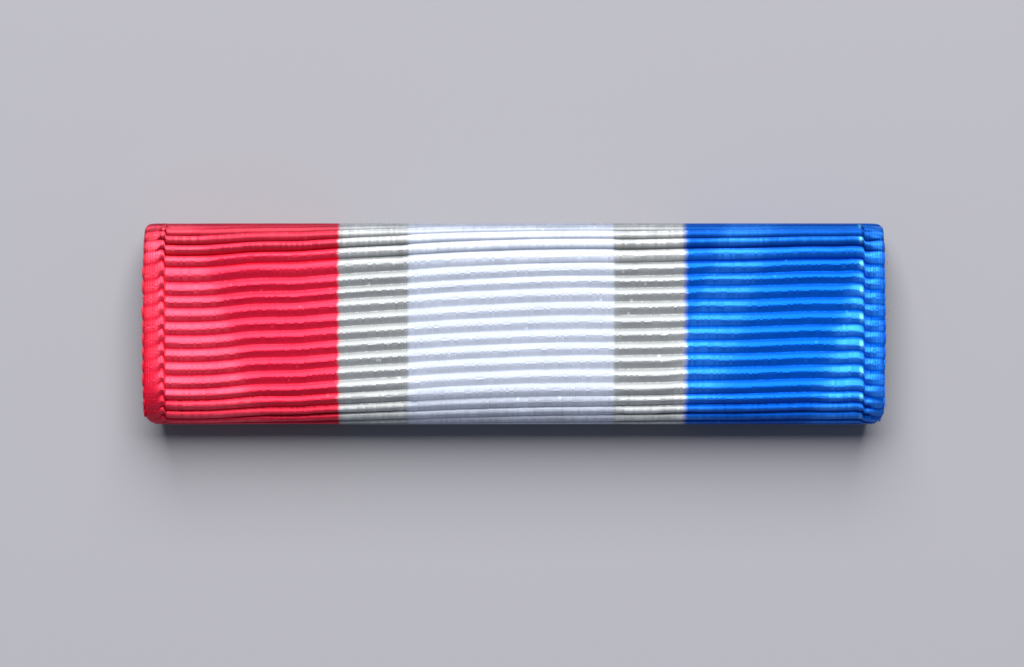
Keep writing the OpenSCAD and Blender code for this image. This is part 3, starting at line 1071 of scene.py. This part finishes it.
def makeFibreTree():
    tree, groupIn, groupOut, given = newGeometryTree("looseFibres", fibres["inputs"])
    scatter = addNode(tree, "GeometryNodeDistributePointsOnFaces")
    tree.links.new(groupIn.outputs["Geometry"], scatter.inputs["Mesh"])
    plug(tree, scatter.inputs["Density"], given["Density"])
    plug(tree, scatter.inputs["Seed"], given["Seed"])
    arc = addNode(tree, "GeometryNodeCurveQuadraticBezier")
    arc.inputs["Resolution"].default_value = fibres["steps"]
    for name, spot in fibres["arc"].items():
        arc.inputs[name].default_value = spot
    turn = addNode(tree, "FunctionNodeRandomValue", data_type="FLOAT_VECTOR")
    turn.inputs["Max"].default_value = fibres["mostTurn"]
    plug(tree, turn.inputs["Seed"], given["Seed"])
    twist = addNode(tree, "FunctionNodeRotateRotation", rotation_space="LOCAL")
    tree.links.new(scatter.outputs["Rotation"], twist.inputs["Rotation"])
    tree.links.new(turn.outputs["Value"], twist.inputs["Rotate By"])
    size = addNode(tree, "FunctionNodeRandomValue", data_type="FLOAT")
    plug(tree, size.inputs[2], given["Least Size"])
    plug(tree, size.inputs[3], given["Most Size"])
    plug(tree, size.inputs["Seed"], given["Seed"] + 1)
    placeAll = addNode(tree, "GeometryNodeInstanceOnPoints")
    tree.links.new(scatter.outputs["Points"], placeAll.inputs["Points"])
    tree.links.new(arc.outputs[0], placeAll.inputs["Instance"])
    tree.links.new(twist.outputs[0], placeAll.inputs["Rotation"])
    tree.links.new(size.outputs[1], placeAll.inputs["Scale"])
    real = addNode(tree, "GeometryNodeRealizeInstances")
    tree.links.new(placeAll.outputs[0], real.inputs[0])
    ring = addNode(tree, "GeometryNodeCurvePrimitiveCircle")
    ring.inputs["Resolution"].default_value = fibres["sides"]
    plug(tree, ring.inputs["Radius"], given["Thickness"])
    thick = addNode(tree, "GeometryNodeCurveToMesh")
    tree.links.new(real.outputs[0], thick.inputs["Curve"])
    tree.links.new(ring.outputs[0], thick.inputs["Profile Curve"])
    thick.inputs["Fill Caps"].default_value = True
    finishTree(tree, groupIn, groupOut, thick.outputs[0])
    return tree


fibrePiece = grown("looseFibres", loopPiece.data.copy(), makeFibreTree(), fibres["inputs"], ribbonSilk)
markSilk(fibrePiece)
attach(fibrePiece, "root")
print("fibres made")

# The holder keeps its CAD shape
holder = bpy.data.objects["holder"]
holder.data.materials.clear()
holder.data.materials.append(holderBrass)
print("holder dressed")


# Studio

studio = {
    "floorColour": (0.27, 0.27, 0.3),
    "floorRoughness": 0.9,
    "floorSize": 3.0,  # in metres, as the next lengths are
    "keySize": (0.5, 0.56),
    "keyTilt": 42.0,  # degrees from straight above, towards the bar's upper edge
    "keyDistance": 0.6,
    "keyPower": 10.0,
    "keyColour": (1.0, 0.98, 0.95),
    "worldColour": (0.7, 0.8, 1.0),
    "worldStrength": 0.2,
}


def addFloor():
    half = studio["floorSize"] / 2
    corners = [(-half, -half, 0), (half, -half, 0), (half, half, 0), (-half, half, 0)]
    mesh = bpy.data.meshes.new("floor")
    mesh.from_pydata(corners, [], [range(4)])
    floor = bpy.data.objects.new("floor", mesh)
    bpy.context.collection.objects.link(floor)
    material, tree, shader = newMaterial("floorPaper")
    shader.inputs["Base Color"].default_value = (*studio["floorColour"], 1.0)
    shader.inputs["Roughness"].default_value = studio["floorRoughness"]
    floor.data.materials.append(material)


def addKeyLight():
    data = bpy.data.lights.new("window", "AREA")
    data.shape = "RECTANGLE"
    data.size, data.size_y = studio["keySize"]
    data.energy = studio["keyPower"]
    data.color = studio["keyColour"]
    light = bpy.data.objects.new("window", data)
    tilt = math.radians(studio["keyTilt"])
    reach = studio["keyDistance"]
    light.location = (0, math.sin(tilt) * reach, math.cos(tilt) * reach)
    light.rotation_euler = (-tilt, 0, 0)
    bpy.context.collection.objects.link(light)


def addWorld():
    world = bpy.data.worlds.new("softRoom")
    world.use_nodes = True
    back = world.node_tree.nodes["Background"]
    back.inputs[0].default_value = (*studio["worldColour"], 1.0)
    back.inputs[1].default_value = studio["worldStrength"]
    bpy.context.scene.world = world


addFloor()
addKeyLight()
addWorld()
bpy.context.scene.view_settings.view_transform = "Standard"
print("studio set")
